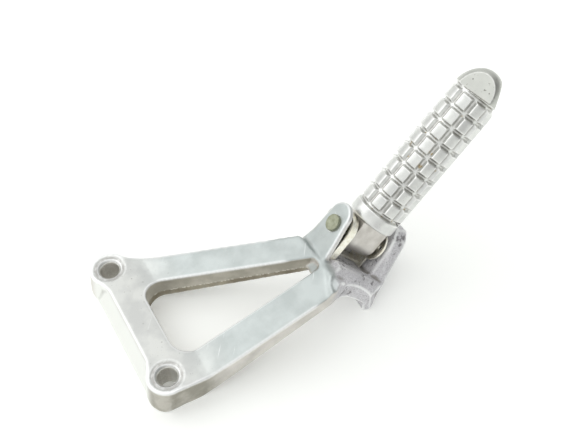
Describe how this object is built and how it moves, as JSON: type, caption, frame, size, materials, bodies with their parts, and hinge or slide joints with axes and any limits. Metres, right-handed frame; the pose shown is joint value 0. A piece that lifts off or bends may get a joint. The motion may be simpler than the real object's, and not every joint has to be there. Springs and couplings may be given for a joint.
{
  "type": "motorcycle foot peg",
  "caption": "Folding passenger foot peg with square pads, on a three-sided cast bracket with a clevis, pivot pin and sprung detent.",
  "frame": {"origin": "midway between the two mounting holes, on the bracket's back face", "axes": "+Z out of the bracket's front at the mounting holes, +Y along the line of the two holes towards the upper arm, +X along the arms to the clevis"},
  "size_m": [0.2204, 0.0982, 0.1113],
  "materials": {
    "cast_alloy": "die cast, lightly brushed in front",
    "peg_alloy": "die cast, tumbled bright",
    "stainless": "pressed stainless sheet",
    "zinc_steel": "zinc plated, olive chromate",
    "plain_steel": "zinc plated, clear",
    "spring_steel": "oiled spring steel",
    "bearing_steel": "polished ball"
  },
  "bodies": {
    "mount_bracket": {"bracket": "cast_alloy", "detent_plate": "stainless", "pivot_pin": "zinc_steel", "thrust_washer": "plain_steel", "clip_washer": "plain_steel", "retaining_clip": "spring_steel"},
    "foot_peg": {"peg_bar": "peg_alloy", "detent_spring": "spring_steel"},
    "ball": {"detent_ball": "bearing_steel"}
  },
  "joints": [
    {"name": "peg_fold", "type": "hinge", "parent": "mount_bracket", "child": "foot_peg", "pos_m": [0.123, -0.0212, 0.0338], "axis": [0.6653, -0.2074, -0.7172], "range_deg": [0, 80]},
    {"name": "ball_press", "type": "slide", "parent": "foot_peg", "child": "ball", "axis": [0.6653, -0.2074, -0.7172], "range_m": [-0.002, 0.0005], "stiffness_N_per_m": 800}
  ]
}
